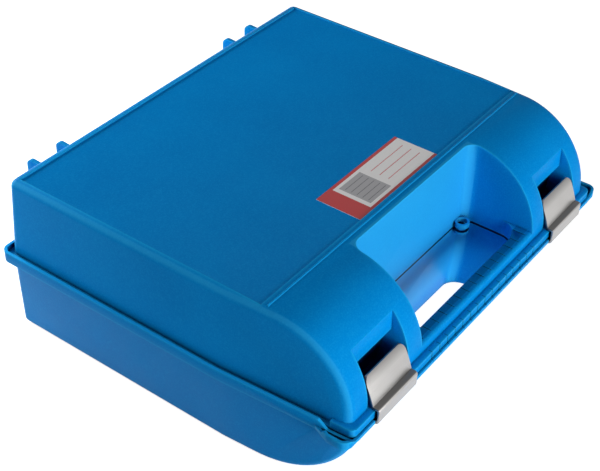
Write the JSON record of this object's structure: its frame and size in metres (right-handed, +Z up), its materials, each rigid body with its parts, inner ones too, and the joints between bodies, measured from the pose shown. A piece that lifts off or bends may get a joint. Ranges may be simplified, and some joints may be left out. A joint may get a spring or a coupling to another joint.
{
  "type": "hard tool case",
  "caption": "Moulded plastic case with a hinged lid, a hand opening through both halves and two sheet steel latches.",
  "frame": {"origin": "middle of the case's footprint, on the plane that it stands on", "axes": "+X to the right of someone facing the latches, -Y towards the handle and the latches, +Y towards the hinges, +Z up"},
  "size_m": [0.3254, 0.3007, 0.128],
  "materials": {
    "base_plastic": "satin, fine moulded grain",
    "lid_plastic": "satin, fine moulded grain",
    "latch_steel": "satin, lightly brushed along the width",
    "pin_steel": "drawn wire, smooth",
    "label_paper": "glossy printed paper"
  },
  "bodies": {
    "base": {"base_shell": "base_plastic", "latch_pin_left": "pin_steel", "latch_pin_right": "pin_steel"},
    "lid": {"lid_shell": "lid_plastic", "hinge_pin_left": "pin_steel", "hinge_pin_right": "pin_steel", "label": "label_paper"},
    "latch_left": {"latch_left": "latch_steel"},
    "latch_right": {"latch_right": "latch_steel"}
  },
  "joints": [
    {"name": "lid_hinge", "type": "hinge", "parent": "base", "child": "lid", "pos_m": [0, 0.1495, 0.069], "axis": [-1, 0, 0], "range_deg": [0, 117]},
    {"name": "latch_left_pivot", "type": "hinge", "parent": "base", "child": "latch_left", "pos_m": [-0.1102, -0.1406, 0.0572], "axis": [1, 0, 0], "range_deg": [0, 110]},
    {"name": "latch_right_pivot", "type": "hinge", "parent": "base", "child": "latch_right", "pos_m": [0.1102, -0.1406, 0.0572], "axis": [1, 0, 0], "range_deg": [0, 110]}
  ]
}
